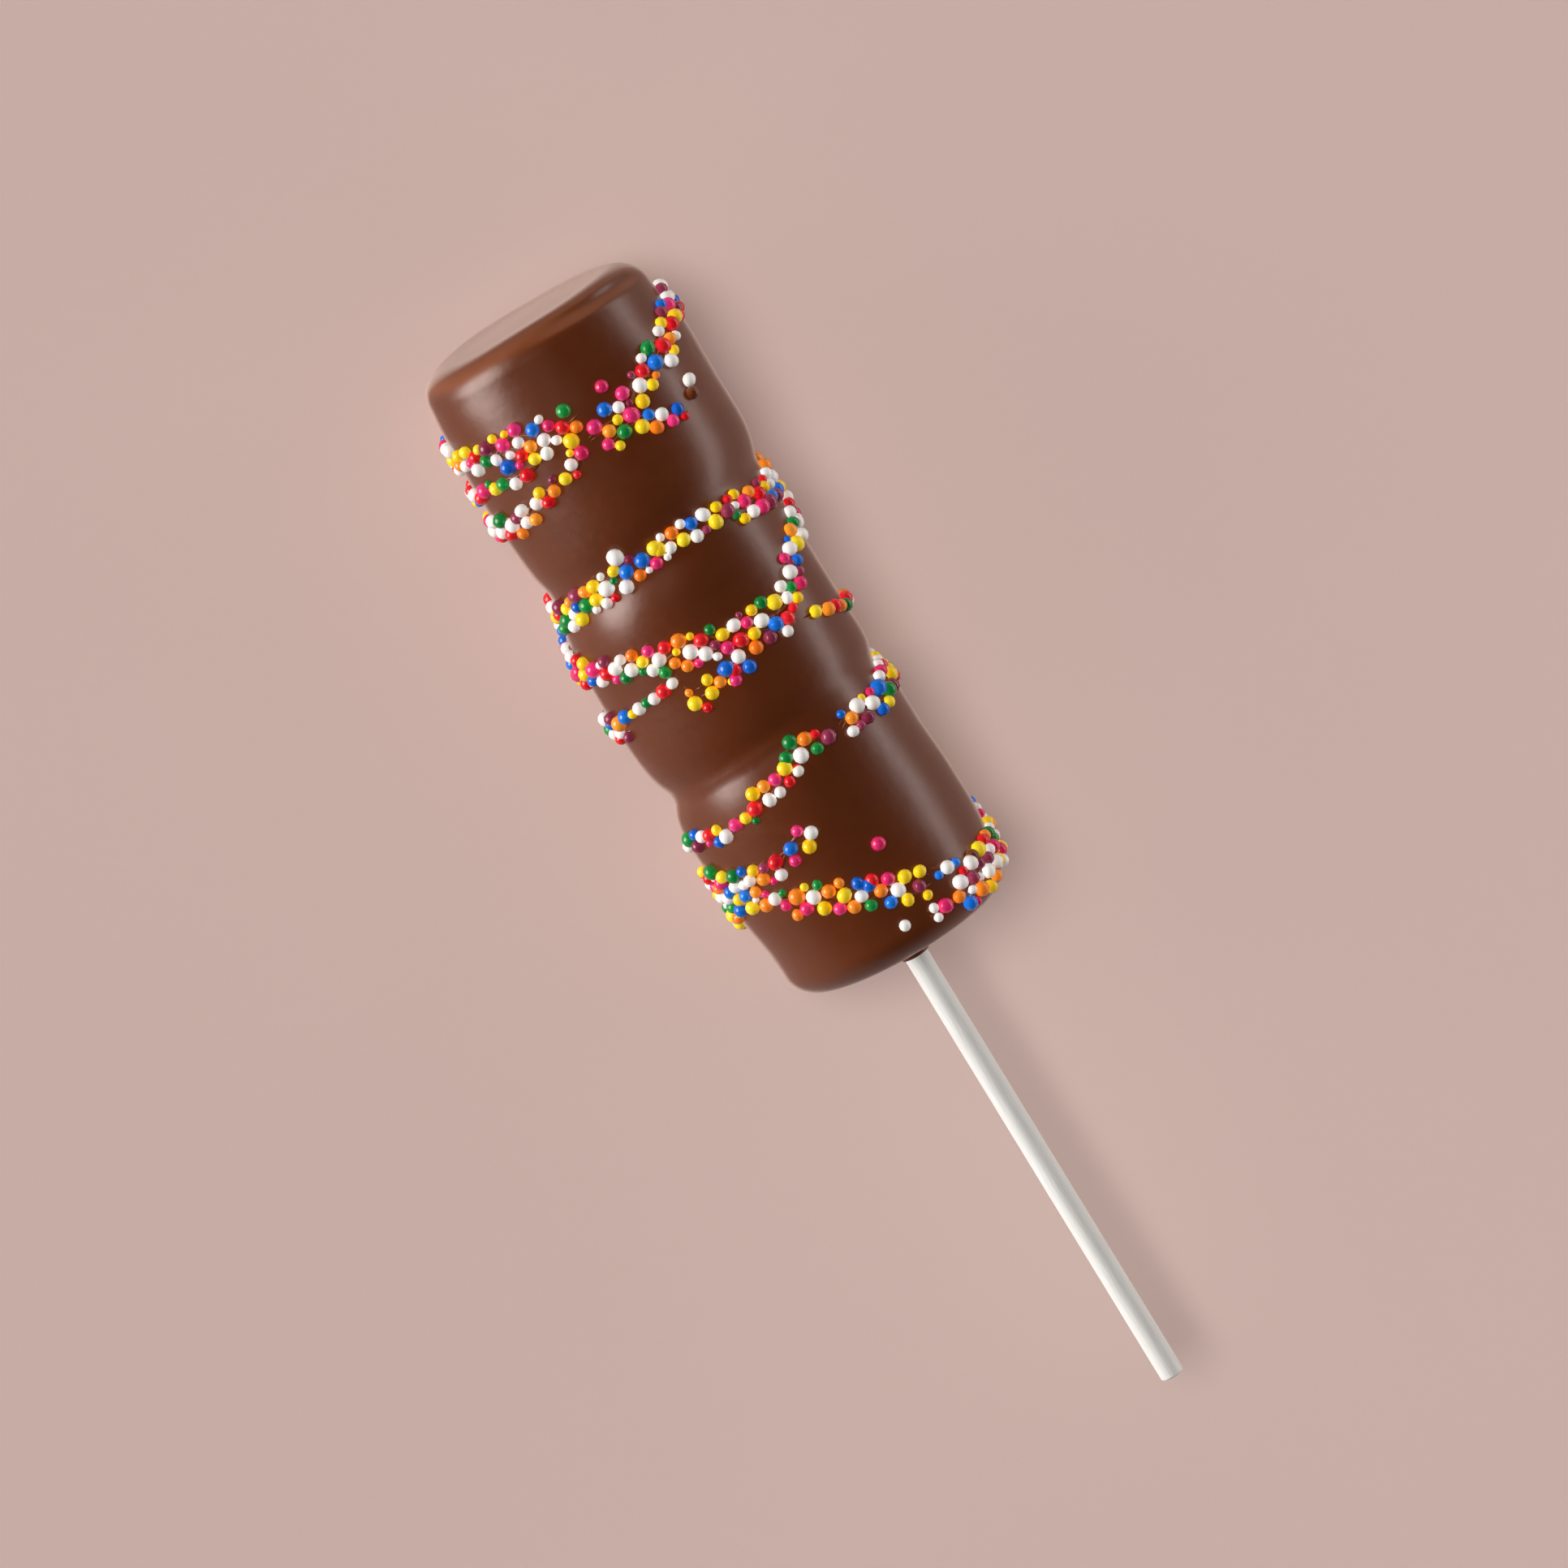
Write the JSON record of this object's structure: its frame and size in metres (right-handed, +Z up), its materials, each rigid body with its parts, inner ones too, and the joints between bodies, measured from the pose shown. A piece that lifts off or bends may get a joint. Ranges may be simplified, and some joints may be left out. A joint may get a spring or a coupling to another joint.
{
  "type": "chocolate-covered marshmallow pop",
  "caption": "Large marshmallows threaded on a paper stick, dipped in milk chocolate and banded with round sugar sprinkles, lying on its side.",
  "frame": {"origin": "middle of the lying pop's box, on the surface that it lies on", "axes": "+Y along the stick towards the chocolate-covered end, the bare end of the stick towards -Y, +X across, +Z up from the surface that it lies on"},
  "size_m": [0.0399, 0.1755, 0.0375],
  "materials": {
    "chocolate": "set milk chocolate, smooth with a soft satin gloss",
    "paper": "tightly rolled white paper, matte",
    "sugar_white": "polished sugar shell, glossy",
    "sugar_yellow": "polished sugar shell, glossy",
    "sugar_orange": "polished sugar shell, glossy",
    "sugar_red": "polished sugar shell, glossy",
    "sugar_pink": "polished sugar shell, glossy",
    "sugar_plum": "polished sugar shell, glossy",
    "sugar_blue": "polished sugar shell, glossy",
    "sugar_green": "polished sugar shell, glossy"
  },
  "bodies": {
    "root": {"coated_marshmallows": "chocolate", "stick": "paper"}
  },
  "joints": []
}
